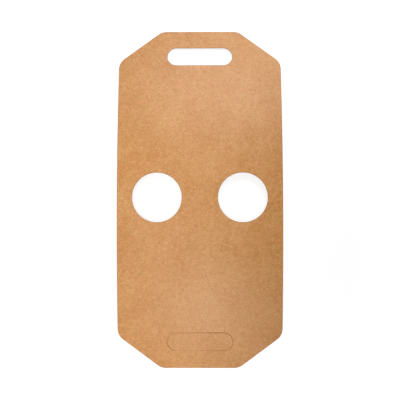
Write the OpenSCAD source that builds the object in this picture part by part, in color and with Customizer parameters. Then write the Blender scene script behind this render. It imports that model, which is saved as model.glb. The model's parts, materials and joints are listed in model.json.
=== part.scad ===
// Flat cup carrier, die cut from one sheet of solid kraft board.
// Two cup holes lie side by side across the middle, with a hand hole at each end: one is punched open,
// the other still holds its flap, knife cut on three sides and perforated along the side nearest the end.
// The board keeps a slight bow along its length, so it lies on its two end edges with its middle raised.
// X runs across the sheet, Y along it with the open hand hole at +Y, and Z up from the surface it lies on.

/* [Board] */
// Width of the sheet
board_w = 224; // [204:1:260]
// Length of the sheet, measured along the bow
board_l = 469; // [420:1:520]
// Thickness of the board
board_t = 0.7; // [0.4:0.05:1.5]
// Radius of the bow, at the middle of the board's thickness
bow_r = 1525; // [900:25:4000]

/* [Corners] */
// How far an angled corner reaches across the sheet
corner_across = 59; // [45:1:70]
// How far an angled corner reaches along the sheet
corner_along = 46.5; // [30:0.5:60]
// Rounding where an angled corner meets the long side and the end
corner_round_r = 18.5; // [5:0.5:30]

/* [Cup holes] */
// Diameter of a cup hole
cup_d = 67; // [55:0.5:80]
// Distance between the centres of the cup holes
cup_pitch = 116; // [95:1:135]

/* [Hand holes] */
// Width of a hand hole, across the sheet
hand_w = 90; // [75:1:105]
// Height of a hand hole, along the sheet, and the diameter of its round ends
hand_h = 25.5; // [20:0.5:32]
// Distance from the end of the sheet to the middle of a hand hole
hand_inset = 37.5; // [28:0.5:60]

/* [Flap] */
// Width of the gap that the knife leaves round the flap
knife_gap = 0.4; // [0.2:0.05:0.8]
// Length of one cut of the perforation
perf_cut = 2; // [1:0.25:4]
// Board left between two cuts of the perforation
perf_bridge = 2; // [1:0.25:4]

/* [Hidden] */

$fn = 256;

// How far a cutter, and the sheet before it is cut to outline, reaches past what it cuts
cut_past = 5;
// How far the circle of a rounding stands out past the edges it joins, so that it crosses them cleanly
round_over = 0.002;

// The bow is part of a round shell whose axis runs along X, with the end edges of its underside at Z = 0.
inner_r = bow_r - board_t / 2;
outer_r = bow_r + board_t / 2;
end_y = along(board_l / 2);
axis_z = -sqrt(inner_r * inner_r - end_y * end_y);
top_z = axis_z + outer_r;

hand_s = board_l / 2 - hand_inset;
hand_straight = hand_w - hand_h;

// Angle round the bow's axis of a point s along the sheet from its middle
function bow_angle(s) = s / bow_r * 180 / PI;

// Plan position of that point as the sheet lies
function along(s) = bow_r * sin(bow_angle(s));

function unit(v) = v / norm(v);

// Half the angle at corner p between the edges to o and q
function half_corner(o, p, q) = acos(unit(o - p) * unit(q - p)) / 2;

// Where a rounding of radius r ends on the edge from corner p to q, when the other edge goes to o
function round_end(o, p, q, r) = p + unit(q - p) * r / tan(half_corner(o, p, q));

// Centre of that rounding
function round_centre(o, p, q, r) = p + unit(unit(o - p) + unit(q - p)) * r / sin(half_corner(o, p, q));

// What comes off corner p, between the edges to o and q, to round it to radius r.
module corner_waste(o, p, q, r) {
    centre = round_centre(o, p, q, r);
    bounds = [round_end(q, p, o, r), p, round_end(o, p, q, r)];
    difference() {
        polygon([centre, each [for (b = bounds) centre + 2 * (b - centre)]]);
        translate(centre)
            circle(r = r + round_over);
    }
}

// Outline of the sheet in plan: a rectangle with angled corners, each end of an angle rounded off.
module outline() {
    half_w = board_w / 2;
    side_y = along(board_l / 2 - corner_along);
    end_x = half_w - corner_across;
    quarter = [[half_w, side_y], [end_x, end_y]];
    mirrored = [[-end_x, end_y], [-half_w, side_y]];
    corners = concat(quarter, mirrored, -quarter, -mirrored);
    count = len(corners);
    difference() {
        polygon(corners);
        for (i = [0:count - 1])
            corner_waste(corners[(i + count - 1) % count], corners[i], corners[(i + 1) % count], corner_round_r);
    }
}

// The bowed board before it is cut to its outline.
module bowed_board() {
    spread = bow_angle(board_l / 2 + cut_past);
    translate([0, 0, axis_z])
        rotate([0, -90, 0])
            rotate_extrude(angle = 2 * spread, start = -spread)
                translate([inner_r, -board_w / 2 - cut_past])
                    square([board_t, board_w + 2 * cut_past]);
}

// Sets a flat shape square to the sheet, s along it from the middle, as a cutter that goes right through.
module cut_at(s) {
    translate([0, 0, axis_z])
        rotate([-bow_angle(s), 0, 0])
            translate([0, 0, bow_r])
                linear_extrude(board_t + 2 * cut_past, center = true)
                    children();
}

// Straight slot with round ends, w across and h along the sheet.
module slot(w, h) {
    square([w - h, h], center = true);
    for (side = [-1, 1])
        translate([side * (w - h) / 2, 0])
            circle(d = h);
}

// Line of the flap: a knife cut along its inner side and round both ends, and a row of short cuts
// along the outer side, nearest the end of the sheet, where the flap hangs on the bridges between them.
module flap_line() {
    perf_pitch = perf_cut + perf_bridge;
    perf_count = floor((hand_straight - perf_bridge) / perf_pitch);
    outer_line_y = -(hand_h - knife_gap) / 2;
    difference() {
        slot(hand_w, hand_h);
        slot(hand_w - 2 * knife_gap, hand_h - 2 * knife_gap);
        translate([0, -hand_h / 2])
            square([hand_straight, hand_h], center = true);
    }
    for (i = [0:perf_count - 1])
        translate([(i - (perf_count - 1) / 2) * perf_pitch, outer_line_y])
            square([perf_cut, knife_gap], center = true);
}

module carrier_board() {
    color([0.82, 0.60, 0.40])
        difference() {
            intersection() {
                bowed_board();
                translate([0, 0, -cut_past])
                    linear_extrude(top_z + 2 * cut_past)
                        outline();
            }
            for (side = [-1, 1])
                cut_at(0)
                    translate([side * cup_pitch / 2, 0])
                        circle(d = cup_d);
            cut_at(hand_s)
                slot(hand_w, hand_h);
            cut_at(-hand_s)
                flap_line();
        }
}

carrier_board();
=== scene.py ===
# Flat cup carrier: one die-cut sheet of brown kraft board, lying bowed on its two end edges.
# Lengths are in metres. On the flat sheet, x runs across it and s along it from its middle.
import json
import math

import bmesh
import bpy
import numpy as np
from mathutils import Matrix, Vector
from mathutils.geometry import delaunay_2d_cdt


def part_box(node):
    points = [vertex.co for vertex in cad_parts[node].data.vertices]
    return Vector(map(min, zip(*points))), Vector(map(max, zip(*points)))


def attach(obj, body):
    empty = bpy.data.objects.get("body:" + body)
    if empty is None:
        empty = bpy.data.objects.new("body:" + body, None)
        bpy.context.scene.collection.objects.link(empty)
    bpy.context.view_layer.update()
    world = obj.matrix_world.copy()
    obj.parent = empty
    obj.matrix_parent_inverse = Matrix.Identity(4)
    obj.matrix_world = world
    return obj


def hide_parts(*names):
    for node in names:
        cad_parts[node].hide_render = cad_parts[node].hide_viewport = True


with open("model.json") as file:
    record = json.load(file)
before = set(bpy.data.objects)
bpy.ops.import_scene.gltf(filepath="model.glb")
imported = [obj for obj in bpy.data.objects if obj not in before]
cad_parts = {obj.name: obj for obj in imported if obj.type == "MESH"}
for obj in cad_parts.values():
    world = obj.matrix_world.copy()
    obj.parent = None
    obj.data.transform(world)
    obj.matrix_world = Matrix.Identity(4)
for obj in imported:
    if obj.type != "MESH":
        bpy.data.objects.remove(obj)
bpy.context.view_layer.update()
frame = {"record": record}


# Blank of the sheet: solid kraft board, 0.7 mm thick, with four angled corners whose ends are rounded.
# A steel-rule die stamps it out flat, which turns its arrises over, and it then takes a slight bow.
MM = 0.001
BOARD_THICK = 0.7 * MM
CORNER_ACROSS = 59 * MM
CORNER_ALONG = 46.5 * MM
CORNER_ROUND = 18.5 * MM
DIE_ARRIS = 0.1 * MM
# The turned-over lips are this wide partly to carry a rim of painted shade in the darker cut finish.
DIE_LIP = 0.36 * MM
DIE_DROP = 0.2 * MM
EDGE_STEP = 3 * MM
CORNER_STEPS = 12
LIP_TURNS = np.radians((0, 30, 60, 90))

low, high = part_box("carrier_board")
half_width = (high.x - low.x) / 2
half_span = (high.y - low.y) / 2
crown = high.z - low.z - BOARD_THICK
under_radius = (half_span**2 + crown**2) / (2 * crown)
bow_radius = under_radius + BOARD_THICK / 2
axis_height = low.z + crown - under_radius
half_length = bow_radius * math.asin(half_span / bow_radius)


def arc(centre, radius, start, turn, steps):
    """Points round an arc from the angle start, through the angle turn, both ends included."""
    angles = start + turn * np.linspace(0, 1, steps + 1)
    return centre + radius * np.column_stack((np.cos(angles), np.sin(angles)))


def unit(vector):
    """The vector's direction, with a length of 1."""
    return vector / np.linalg.norm(vector)


def rounded_corner(before, corner, after, inset):
    """Points round one corner of the blank, drawn in from the edge by inset."""
    come, go = unit(corner - before), unit(after - corner)
    turn = math.atan2(come[0] * go[1] - come[1] * go[0], come @ go)
    centre = corner + unit(go - come) * CORNER_ROUND / math.cos(turn / 2)
    start = math.atan2(-come[0], come[1])
    return arc(centre, CORNER_ROUND - inset, start, turn, CORNER_STEPS)


def blank_edge(inset):
    """Outline of the blank, counter-clockwise, drawn in from the edge by inset."""
    side_s = half_length - CORNER_ALONG
    end_x = half_width - CORNER_ACROSS
    quarter = np.array([(half_width, side_s), (end_x, half_length)])
    mirrored = quarter[::-1] * (-1, 1)
    corners = np.vstack((quarter, mirrored, -quarter, -mirrored))
    before, after = np.roll(corners, 1, axis=0), np.roll(corners, -1, axis=0)
    rounds = [rounded_corner(*three, inset) for three in zip(before, corners, after)]
    points = []
    for i, this_round in enumerate(rounds):
        next_round = rounds[(i + 1) % len(rounds)]
        steps = math.ceil(np.linalg.norm(after[i] - corners[i]) / EDGE_STEP)
        points += [this_round, np.linspace(this_round[-1], next_round[0], steps + 1)[1:-1]]
    return np.vstack(points)


def edge_profile(lip, drop):
    """(inset, height) down a cut edge: an upper lip that wide and deep, the wall, a small lower arris."""
    top = BOARD_THICK / 2
    margin = lip + DIE_ARRIS
    upper = [(lip * (1 - math.sin(a)), top - drop * (1 - math.cos(a))) for a in LIP_TURNS]
    lower = [(DIE_ARRIS * (1 - math.sin(a)), DIE_ARRIS * (1 - math.cos(a)) - top) for a in LIP_TURNS]
    return [(margin, top), *upper, *reversed(lower), (margin, -top)]


# Every edge of the sheet is a function from an inset to a loop of points, with the profile down that edge.
die_edge = edge_profile(DIE_LIP, DIE_DROP)
edges = [(blank_edge, die_edge)]


# Cup holes: two round holes side by side across the middle, punched clean through by the same die.
# A cup drops in until its rim rests on the board.
CUP_HALF_STEPS = 90

cut_spines = []


def cut_edge(spine, reach, tip_steps):
    """Outline of a cut along its spine, a row of points, with its reach to both sides at each of them."""
    along = np.gradient(spine, axis=0) if len(spine) > 1 else np.array([(1.0, 0.0)])
    along /= np.linalg.norm(along, axis=1)[:, None]
    left = np.column_stack((-along[:, 1], along[:, 0]))
    sideways = reach[:, None] * left
    right_side, left_side = spine - sideways, (spine + sideways)[::-1]
    end_angle = math.atan2(-left[-1, 1], -left[-1, 0])
    start_angle = math.atan2(left[0, 1], left[0, 0])
    end_tip = arc(spine[-1], reach[-1], end_angle, math.pi, tip_steps)
    start_tip = arc(spine[0], reach[0], start_angle, math.pi, tip_steps)
    return np.vstack((right_side[:-1], end_tip[:-1], left_side[:-1], start_tip[:-1]))


def add_cut(spine, reach, tip_steps, profile, widen=1.0):
    """Adds the edge of a cut through the sheet, with its profile widened by a factor at each point."""
    widen = np.broadcast_to(widen, len(spine))
    edges.append((lambda inset: cut_edge(spine, reach + inset * widen, tip_steps), profile))
    cut_spines.append((spine, reach + profile[0][0] * widen))


for mount in frame["record"]["mounts"]:
    cup_centre = np.array([mount["pos_m"][:2]])
    add_cut(cup_centre, mount["dims"]["r_mm"] * MM, CUP_HALF_STEPS, die_edge)


# Hand hole: a slot with round ends near one end of the sheet, wide enough for four fingers.
# The die punches it open in the same stroke, so its edge is turned over like the outline's.
HAND_WIDE = 90 * MM
HAND_HIGH = 25.5 * MM
HAND_INSET = 37.5 * MM
HAND_SIDE_POINTS = 33
HAND_END_STEPS = 30

hand_s = half_length - HAND_INSET
hand_straight = HAND_WIDE - HAND_HIGH
hand_x = np.linspace(-hand_straight / 2, hand_straight / 2, HAND_SIDE_POINTS)
hand_spine = np.column_stack((hand_x, np.full_like(hand_x, hand_s)))
add_cut(hand_spine, HAND_HIGH / 2, HAND_END_STEPS, die_edge)


# Flap: the second hand hole is still filled by its flap, which a knife frees along the inner side and both
# ends, while a row of short cuts leaves it hanging on small bridges of board along the outer side.
KNIFE_INSET = 0.2 * MM
KNIFE_HALF_GAP = 0.008 * MM
KNIFE_LIP = 0.2 * MM
KNIFE_END_STEPS = 40
KNIFE_SIDE_POINTS = 65
PERF_HALF_GAP = 0.1 * MM
PERF_LIP = 0.08 * MM
PERF_CUT = 2 * MM
PERF_PITCH = 4 * MM
PERF_COUNT = 15
PERF_POINTS = 5
LIP_DROP = 0.3 * MM
TIP_STEPS = 6
FLAP_SHIFT = 0.2 * MM
FLAP_SINK = 0.2 * MM
FLAP_RISE = 0.2 * MM
FLAP_DRAW = 0.05 * MM

knife_edge = edge_profile(KNIFE_LIP, LIP_DROP)
perf_edge = edge_profile(PERF_LIP, LIP_DROP)
flap_s = FLAP_SHIFT - hand_s
knife_radius = HAND_HIGH / 2 - KNIFE_INSET
inner_s = flap_s + knife_radius
hinge_s = flap_s - knife_radius
left_centre = np.array((-hand_straight / 2, flap_s))
right_centre = np.array((hand_straight / 2, flap_s))
left_end = arc(left_centre, knife_radius, -math.pi / 2, -math.pi, KNIFE_END_STEPS)
right_end = arc(right_centre, knife_radius, math.pi / 2, -math.pi, KNIFE_END_STEPS)
inner_side = np.linspace(left_end[-1], right_end[0], KNIFE_SIDE_POINTS)[1:-1]
knife_spine = np.vstack((left_end, inner_side, right_end))

# At two places the dark lips of the knife cut are drawn wider, as a painted shadow of the flap's gap: near
# the +x end of the inner side, and halfway round the outer part of the -x end.
inner_spot = (0.4 * hand_straight, inner_s)
outer_spot = (-0.5 * hand_straight - 0.7 * knife_radius, flap_s - 0.7 * knife_radius)
knife_widen = np.ones(len(knife_spine))
for painted_shadow_spot, lip_widening, fade_length in ((inner_spot, 1.1, 16 * MM), (outer_spot, 0.9, 7 * MM)):
    from_spot = np.linalg.norm(knife_spine - painted_shadow_spot, axis=1)
    knife_widen += lip_widening * np.exp(-((from_spot / fade_length) ** 2))
add_cut(knife_spine, KNIFE_HALF_GAP, TIP_STEPS, knife_edge, knife_widen)

half_cut = PERF_CUT / 2 - PERF_HALF_GAP - PERF_LIP
for i in range(PERF_COUNT):
    middle = (i - (PERF_COUNT - 1) / 2) * PERF_PITCH
    cut_x = np.linspace(middle - half_cut, middle + half_cut, PERF_POINTS)
    perf_spine = np.column_stack((cut_x, np.full_like(cut_x, hinge_s)))
    add_cut(perf_spine, PERF_HALF_GAP, TIP_STEPS, perf_edge)


def clearance(points, spine, reach):
    """Distance of each point from the edge of a cut, less than 0 inside it."""
    if len(spine) == 1:
        return np.linalg.norm(points - spine[0], axis=1) - reach[0]
    near = np.full(len(points), np.inf)
    for a, b, reach_a, reach_b in zip(spine[:-1], spine[1:], reach[:-1], reach[1:]):
        share = np.clip((points - a) @ (b - a) / ((b - a) @ (b - a)), 0, 1)
        away = np.linalg.norm(points - a - share[:, None] * (b - a), axis=1)
        near = np.minimum(near, away - reach_a - share * (reach_b - reach_a))
    return near


def flap_lift(x, s):
    """How free each point of the flap is, 0 at its bridges and 1 at its inner side, and how far that lets it
    stand out of the sheet. The flap is a little twisted: its -x end is sunk and its +x end raised."""
    hand_middle = np.clip(x, -hand_straight / 2, hand_straight / 2)
    on_flap = np.hypot(x - hand_middle, s - flap_s) < knife_radius
    free = np.clip((s - hinge_s) / (2 * knife_radius), 0, 1) * on_flap
    side = np.clip(0.5 + x / HAND_WIDE, 0, 1)
    return free, free * (FLAP_RISE * side - FLAP_SINK * (1 - side))


# Sheet: the blank with all its cuts as one closed mesh, board faces above and below and cut edges between.
# It is bent round the bow's axis and cockled a little, as board that has taken up some damp.
FACE_STEP = 4.5 * MM
EDGE_ROOM = 2 * MM
CORNER_ROOM = 1.08
CUT_ROOM = 1.2 * MM
COCKLE = 0.1 * MM
# Two trains of waves cross in the cockle, each with its length per radian across and along, and its phase.
COCKLE_WAVES = ((31 * MM, 47 * MM, 0), (-58 * MM, 26 * MM, 2))
INSIDE_RIMS = 1
SAME_POINT_MM = 1e-6
FACE_FINISH, CUT_FINISH = 0, 1

loops = [edge(profile[0][0]) for edge, profile in edges]
rim = np.vstack(loops)
grid_x = np.arange(-half_width, half_width, FACE_STEP)
grid_s = np.arange(-half_length, half_length, FACE_STEP)
grid = np.array([(x + FACE_STEP / 2 * (j % 2), s) for j, s in enumerate(grid_s) for x in grid_x])
side_room = half_width - abs(grid[:, 0])
end_room = half_length - abs(grid[:, 1])
clear = (side_room > EDGE_ROOM) & (end_room > EDGE_ROOM)
clear &= side_room / CORNER_ACROSS + end_room / CORNER_ALONG > CORNER_ROOM
for spine, reach in cut_spines:
    clear &= clearance(grid, spine, reach) > CUT_ROOM
face_points = np.vstack((rim, grid[clear]))

rim_edges = []
starts = np.cumsum([0] + [len(loop) for loop in loops])
for start, loop in zip(starts, loops):
    rim_edges += [(start + i, start + (i + 1) % len(loop)) for i in range(len(loop))]
# The triangulation works in millimetres, because it treats points within its tolerance as one.
points_mm = [Vector(p / MM) for p in face_points]
triangulation = delaunay_2d_cdt(points_mm, rim_edges, [], INSIDE_RIMS, SAME_POINT_MM)
triangles = np.array(triangulation[2])
centres = face_points[triangles].mean(axis=1)
solid = np.ones(len(triangles), bool)
for spine, reach in cut_spines:
    solid &= clearance(centres, spine, reach) > 0
triangles = triangles[solid]

face_count = len(face_points)
flat = [
    np.column_stack((face_points, np.full(face_count, height)))
    for height in (BOARD_THICK / 2, -BOARD_THICK / 2)
]
faces = triangles.tolist() + (triangles[:, ::-1] + face_count).tolist()
finish_index = [FACE_FINISH] * len(faces)
made = 2 * face_count
for start, loop, (edge, profile) in zip(starts, loops, edges):
    ring_starts = [start]
    for inset, height in profile[1:-1]:
        ring = edge(inset)
        flat.append(np.column_stack((ring, np.full(len(ring), height))))
        ring_starts.append(made)
        made += len(ring)
    ring_starts.append(start + face_count)
    # The strips next to the two faces are still flat board, and those between them are cut.
    last_strip = len(ring_starts) - 2
    for j, (above, below) in enumerate(zip(ring_starts[:-1], ring_starts[1:])):
        for i in range(len(loop)):
            k = (i + 1) % len(loop)
            faces.append((above + i, below + i, below + k, above + k))
            # The cut finish on the lips lays a line of painted shade round every cut.
            finish_index.append(CUT_FINISH if 0 < j < last_strip else FACE_FINISH)
flat = np.vstack(flat)

x, s, height = flat.T
waves = sum(np.sin(x / across + s / along + phase) for across, along, phase in COCKLE_WAVES)
fade = 1 - (s / half_length) ** 2
free, lift = flap_lift(x, s)
height = height + lift - COCKLE * fade * (1 + waves / 2)
bow_angle = (s - FLAP_DRAW * free) / bow_radius
from_axis = bow_radius + height
laid = np.column_stack((x, from_axis * np.sin(bow_angle), axis_height + from_axis * np.cos(bow_angle)))

sheet_mesh = bpy.data.meshes.new("kraft_sheet")
sheet_mesh.from_pydata(laid.tolist(), [], faces)
sheet_mesh.polygons.foreach_set("material_index", finish_index)
sheet_mesh.polygons.foreach_set("use_smooth", [True] * len(faces))
outward = bmesh.new()
outward.from_mesh(sheet_mesh)
bmesh.ops.recalc_face_normals(outward, faces=outward.faces)
outward.to_mesh(sheet_mesh)
outward.free()
sheet = bpy.data.objects.new("kraft_sheet", sheet_mesh)
bpy.context.collection.objects.link(sheet)
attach(sheet, "root")
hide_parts("carrier_board")


# Face of the board: unbleached kraft, a felt of fine wood fibres pressed flat, with a dull, waxy sheen.
# The pulp lies in soft clouds, with paler and darker fibres, dark shives and pale specks all over.
KRAFT = (0.614, 0.256, 0.047, 1)
KRAFT_PALE = (0.724, 0.37, 0.132, 1)
KRAFT_DEEP = (0.484, 0.16, 0.011, 1)
BLUSH_GREEN = (0.96, 1.0, 0.93, 1)
BLUSH_PINK = (1.0, 0.96, 1.0, 1)
SHIVE = (0.27, 0.08, 0.009, 1)
PALE_SPECK = (0.77, 0.43, 0.175, 1)
FELT_WIDE = 0.16
HAIR_WIDE = 0.13
HAIR_RISE = (0.12, 0.22)
FACE_ROUGH = 0.45
TOOTH_DEEP = 0.06 * MM


class Wire:
    """An output socket in a finish's node tree: arithmetic on wires and numbers adds Math nodes."""

    def __init__(self, tree, socket=None):
        self.tree = tree
        self.socket = socket

    def node(self, kind, settings=None, sockets=None, out=0):
        """Adds a node, makes its settings, then fills its sockets, and returns the wire of one output."""
        node = self.tree.nodes.new(kind)
        for name, value in (settings or {}).items():
            if name == "stops":
                ramp = node.color_ramp.elements
                while len(ramp) < len(value):
                    ramp.new(0.5)
                for stop, (position, colour) in zip(ramp, value):
                    stop.position, stop.color = position, colour
            else:
                setattr(node, name, value)
        for name, value in (sockets or {}).items():
            if isinstance(value, Wire):
                self.tree.links.new(value.socket, node.inputs[name])
            else:
                node.inputs[name].default_value = value
        return Wire(self.tree, node.outputs[out] if node.outputs else None)

    def math(self, operation, a, b):
        return self.node("ShaderNodeMath", {"operation": operation}, {0: a, 1: b})

    def __add__(self, other):
        return self.math("ADD", self, other)

    def __radd__(self, other):
        return self.math("ADD", other, self)

    def __sub__(self, other):
        return self.math("SUBTRACT", self, other)

    def __rsub__(self, other):
        return self.math("SUBTRACT", other, self)

    def __mul__(self, other):
        return self.math("MULTIPLY", self, other)

    def __rmul__(self, other):
        return self.math("MULTIPLY", other, self)


def new_finish(name):
    """A new material with an empty node tree, and a first wire from which nodes are added to it."""
    finish = bpy.data.materials.new(name)
    finish.use_nodes = True
    finish.node_tree.nodes.clear()
    return finish, Wire(finish.node_tree)


def in_millimetres(wire):
    """Position on the piece, in millimetres."""
    place = wire.node("ShaderNodeTexCoord", out="Object")
    return wire.node("ShaderNodeVectorMath", {"operation": "SCALE"}, {0: place, "Scale": 1 / MM})


def cloud(wire, place, size, detail, rough=0.5):
    """Soft noise about 0 whose patches are about size millimetres across."""
    sockets = {"Vector": place, "Scale": 1 / size, "Detail": detail, "Roughness": rough}
    return wire.node("ShaderNodeTexNoise", sockets=sockets) - 0.5


def fibres(wire, place, length, width, turn, shift):
    """Thin streaks about 0, of that length and width in millimetres, that run at one angle in degrees."""
    laid_fibre = wire.node(
        "ShaderNodeMapping",
        {"vector_type": "TEXTURE"},
        {
            "Vector": place,
            "Location": (shift, 0.7 * shift, 0),
            "Rotation": (0, 0, math.radians(turn)),
            "Scale": (length, width, width),
        },
    )
    sockets = {"Vector": laid_fibre, "Scale": 1.0, "Detail": 1.0, "Roughness": 0.5}
    return wire.node("ShaderNodeTexNoise", sockets=sockets) - 0.5


def curled(wire, place, size, reach):
    """The place drawn about by up to reach millimetres, in swirls about size millimetres across."""
    sockets = {"Vector": place, "Scale": 1 / size, "Detail": 0.0}
    sway = wire.node("ShaderNodeTexNoise", sockets=sockets, out="Color")
    drawn = {0: sway, 1: (reach,) * 3, 2: place}
    return wire.node("ShaderNodeVectorMath", {"operation": "MULTIPLY_ADD"}, drawn)


def step_up(wire, value, low_end, high_end):
    """Rises smoothly from 0 at low_end to 1 at high_end."""
    return wire.node(
        "ShaderNodeMapRange",
        {"interpolation_type": "SMOOTHSTEP"},
        {"Value": value, "From Min": low_end, "From Max": high_end},
    )


def hairs(wire, place, length, turn, shift):
    """Single fibres that stand out from the felt, 0 to 1, of that length in millimetres."""
    return step_up(wire, fibres(wire, place, length, HAIR_WIDE, turn, shift), *HAIR_RISE)


def specks(wire, place, spacing, size, share):
    """Scattered specks, 0 to 1, up to size millimetres wide, in that share of cells spacing apart."""
    sockets = {"Vector": place, "Scale": 1 / spacing}
    near = wire.node("ShaderNodeTexVoronoi", sockets=sockets)
    cell = wire.node("ShaderNodeTexVoronoi", sockets=sockets, out="Color")
    chance = wire.node("ShaderNodeSeparateColor", sockets={"Color": cell})
    chosen = step_up(wire, chance, 1 - share, 1 - share / 2)
    return (1 - step_up(wire, near, 0.2 * size / spacing, 0.5 * size / spacing)) * chosen


def colour_ramp(wire, value, *stops):
    """A colour that goes through the stops, each a position and a colour, as the value rises."""
    return wire.node("ShaderNodeValToRGB", {"stops": stops}, {"Fac": value})


def mix_colour(wire, blend, factor, a, b):
    """Colour b blended into colour a by the factor."""
    settings = {"data_type": "RGBA", "blend_type": blend}
    return wire.node("ShaderNodeMix", settings, {0: factor, 6: a, 7: b}, out=2)


kraft_face, wire = new_finish("kraft_face")
place = in_millimetres(wire)
lie = curled(wire, place, size=4, reach=1.6)
felt = fibres(wire, lie, length=3.2, width=FELT_WIDE, turn=8, shift=11)
strands = fibres(wire, lie, length=4.2, width=0.5, turn=21, shift=5)
for turn, shift in ((52, 23), (97, 37), (141, 53)):
    felt = felt + fibres(wire, lie, 2.6, FELT_WIDE, turn, shift)
    strands = strands + fibres(wire, lie, 3.6, 0.45, turn + 17, 2 * shift)
grain = cloud(wire, place, size=1.2, detail=2.0, rough=0.6)
flock = cloud(wire, place, size=5, detail=3.0, rough=0.55)
drift = cloud(wire, place, size=40, detail=2.0)
blush = cloud(wire, place, size=11, detail=1.0)
tone = 0.5 + 1.3 * grain + 0.86 * flock + 0.58 * drift + 0.68 * felt + 0.84 * strands
kraft_colour = colour_ramp(wire, tone, (0.1, KRAFT_DEEP), (0.5, KRAFT), (0.9, KRAFT_PALE))
blush_tint = colour_ramp(wire, 0.5 + blush, (0.25, BLUSH_GREEN), (0.75, BLUSH_PINK))
kraft_colour = mix_colour(wire, "MULTIPLY", 1.0, kraft_colour, blush_tint)
shives = specks(wire, place, spacing=5, size=0.9, share=0.35)
pale_specks = specks(wire, place, spacing=3.7, size=0.8, share=0.4)
pale_hairs = hairs(wire, lie, 2.8, 33, 91) + hairs(wire, lie, 2.4, 118, 67)
deep_hairs = hairs(wire, lie, 2.6, 74, 43) + hairs(wire, lie, 3.0, 161, 29)
kraft_colour = mix_colour(wire, "MIX", 0.55 * pale_hairs, kraft_colour, PALE_SPECK)
kraft_colour = mix_colour(wire, "MIX", 0.42 * deep_hairs, kraft_colour, SHIVE)
kraft_colour = mix_colour(wire, "MIX", 0.45 * shives, kraft_colour, SHIVE)
kraft_colour = mix_colour(wire, "MIX", 0.5 * pale_specks, kraft_colour, PALE_SPECK)
relief = 0.4 * grain + 0.35 * felt + 0.3 * strands + 0.25 * flock
tooth = wire.node(
    "ShaderNodeBump",
    sockets={"Strength": 0.27, "Distance": TOOTH_DEEP, "Height": relief},
)
face_shader = wire.node(
    "ShaderNodeBsdfPrincipled",
    sockets={
        "Base Color": kraft_colour,
        "Roughness": FACE_ROUGH + 0.2 * grain + 0.08 * felt,
        "Normal": tooth,
    },
)
wire.node("ShaderNodeOutputMaterial", sockets={"Surface": face_shader})
sheet_mesh.materials.append(kraft_face)


# Cut edge of the board: the die leaves torn and crushed fibre, rougher than the face.
# The plies that were pressed together to make the board show as fine lines along it.
# Its darker, redder colour is partly the edge's own and partly painted shade, the shadow down the narrow
# cuts and on the walls.
EDGE_PALE = (0.42, 0.125, 0.015, 1)
EDGE_DEEP = (0.21, 0.058, 0.006, 1)
EDGE_ROUGH = 0.85
FUZZ_DEEP = 0.08 * MM

cut_board, wire = new_finish("cut_board")
place = in_millimetres(wire)
torn = cloud(wire, place, size=0.35, detail=3.0, rough=0.6)
plies = fibres(wire, place, length=6, width=0.12, turn=0, shift=71)
torn_tone = 0.5 + 0.7 * torn + 0.5 * plies
edge_and_shade_colour = colour_ramp(wire, torn_tone, (0.25, EDGE_DEEP), (0.75, EDGE_PALE))
fuzz = wire.node(
    "ShaderNodeBump",
    sockets={"Strength": 0.6, "Distance": FUZZ_DEEP, "Height": torn + 0.5 * plies},
)
edge_shader = wire.node(
    "ShaderNodeBsdfPrincipled",
    sockets={
        "Base Color": edge_and_shade_colour,
        "Roughness": EDGE_ROUGH + 0.2 * torn,
        "Specular IOR Level": 0.15,
        "Normal": fuzz,
    },
)
wire.node("ShaderNodeOutputMaterial", sockets={"Surface": edge_shader})
sheet_mesh.materials.append(cut_board)


# Table and backdrop: a pale sweep that the sheet lies on, which curves up into a wall all round.
# It shows white in a picture, and still takes the sheet's shadow.
SWEEP_FLAT = 5.0
SWEEP_BEND = 1.0
SWEEP_WALL = 4.0
SWEEP_SIDES = 96
SWEEP_BEND_POINTS = 10
SWEEP_PALE = (0.8, 0.8, 0.8, 1)
WHITE = (1, 1, 1, 1)
SHADOW_SHARE = 0.34
NEAR_WHITE = 0.78
NEAR_REACH = 0.16
FAR_WHITE = 0.9
FAR_REACH = 0.4

sweep_line = [
    (SWEEP_FLAT + SWEEP_BEND * math.cos(a), SWEEP_BEND * (1 + math.sin(a)))
    for a in np.radians(np.linspace(-90, 0, SWEEP_BEND_POINTS))
]
sweep_line.append((SWEEP_FLAT + SWEEP_BEND, SWEEP_WALL))
sweep_points = [(0, 0, low.z)]
sweep_faces = []
for ring, (radius, rise) in enumerate(sweep_line):
    first = 1 + ring * SWEEP_SIDES
    for i in range(SWEEP_SIDES):
        angle = 2 * math.pi * i / SWEEP_SIDES
        sweep_points.append((radius * math.cos(angle), radius * math.sin(angle), low.z + rise))
        here, beside = first + i, first + (i + 1) % SWEEP_SIDES
        if ring == 0:
            sweep_faces.append((0, here, beside))
        else:
            sweep_faces.append((here - SWEEP_SIDES, here, beside, beside - SWEEP_SIDES))
sweep_mesh = bpy.data.meshes.new("sweep")
sweep_mesh.from_pydata(sweep_points, [], sweep_faces)
sweep = bpy.data.objects.new("sweep", sweep_mesh)
bpy.context.collection.objects.link(sweep)

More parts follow.
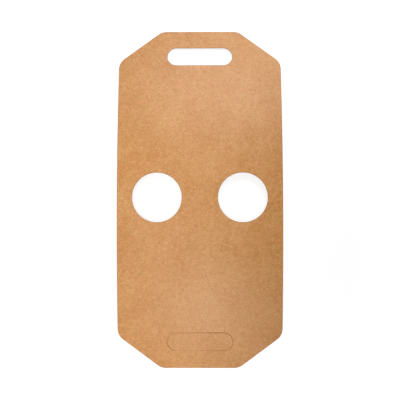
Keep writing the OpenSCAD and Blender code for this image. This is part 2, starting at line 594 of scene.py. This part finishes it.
pale_sweep, wire = new_finish("pale_sweep")
seen = wire.node("ShaderNodeLightPath", out="Is Camera Ray")
seen = seen + wire.node("ShaderNodeLightPath", out="Is Glossy Ray")
seen = seen + wire.node("ShaderNodeLightPath", out="Is Transmission Ray")
matt = wire.node("ShaderNodeBsdfDiffuse", sockets={"Color": SWEEP_PALE})
from_middle = wire.node(
    "ShaderNodeVectorMath",
    {"operation": "LENGTH"},
    {0: wire.node("ShaderNodeTexCoord", out="Object")},
    out="Value",
)
near_white = wire.node("ShaderNodeEmission", sockets={"Color": WHITE, "Strength": NEAR_WHITE})
far_white = wire.node("ShaderNodeEmission", sockets={"Color": WHITE, "Strength": FAR_WHITE})
afar = step_up(wire, from_middle, NEAR_REACH, FAR_REACH)
white = wire.node("ShaderNodeMixShader", sockets={0: afar, 1: near_white, 2: far_white})
faint = wire.node("ShaderNodeBsdfDiffuse", sockets={"Color": (SHADOW_SHARE,) * 3 + (1,)})
shaded = wire.node("ShaderNodeAddShader", sockets={0: white, 1: faint})
sweep_shader = wire.node("ShaderNodeMixShader", sockets={0: seen, 1: matt, 2: shaded})
wire.node("ShaderNodeOutputMaterial", sockets={"Surface": sweep_shader})
sweep_mesh.materials.append(pale_sweep)


# Light: three soft boxes hung over the table, beyond the far end, before the near end and to the left,
# with grids that keep their light on the sheet, and an even pale surround.
SURROUND_LEVEL = 0.3


def soft_box(name, place, aim, power, size, spread):
    """Hangs a square soft box at place, turned to the point aim on the table, with its power in watts
    and the spread that its grid leaves in degrees."""
    lamp = bpy.data.lights.new(name, "AREA")
    lamp.shape = "SQUARE"
    lamp.size = size
    lamp.spread = math.radians(spread)
    lamp.energy = power
    box = bpy.data.objects.new(name, lamp)
    box.location = place
    box.rotation_euler = (Vector((*aim, 0)) - Vector(place)).to_track_quat("-Z", "Y").to_euler()
    box.visible_camera = False
    bpy.context.collection.objects.link(box)


soft_box("far_box", (0.083, 0.76, 0.995), (0.094, 0.284), power=0.91, size=0.58, spread=44)
soft_box("near_box", (0.025, -0.52, 0.778), (-0.098, -0.291), power=0.35, size=0.25, spread=48)
soft_box("left_box", (-0.136, -0.074, 0.75), (-0.118, 0.055), power=0.15, size=0.37, spread=35)
surround = bpy.data.worlds.new("surround")
bpy.context.scene.world = surround
surround.use_nodes = True
surround.node_tree.nodes["Background"].inputs["Color"].default_value = WHITE
surround.node_tree.nodes["Background"].inputs["Strength"].default_value = SURROUND_LEVEL


# Camera: hangs a little over half a metre above the crown of the sheet and looks almost straight down.
# Its place, tilt and lens set the whole sheet in a square picture, with room all round.
CAMERA_OVER_CROWN = 550 * MM
CAMERA_X = 3.125 * MM
CAMERA_Y = -20.959 * MM
CAMERA_TILT = (1.806, 0.306, -0.046)
SENSOR_MM = 36
LENS_MM = 36.794

camera_data = bpy.data.cameras.new("camera")
camera_data.sensor_width = SENSOR_MM
camera_data.lens = LENS_MM
camera = bpy.data.objects.new("camera", camera_data)
camera.location = (CAMERA_X, CAMERA_Y, low.z + crown + BOARD_THICK / 2 + CAMERA_OVER_CROWN)
camera.rotation_euler = [math.radians(angle) for angle in CAMERA_TILT]
bpy.context.collection.objects.link(camera)
bpy.context.scene.camera = camera
bpy.context.scene.view_settings.view_transform = "Standard"
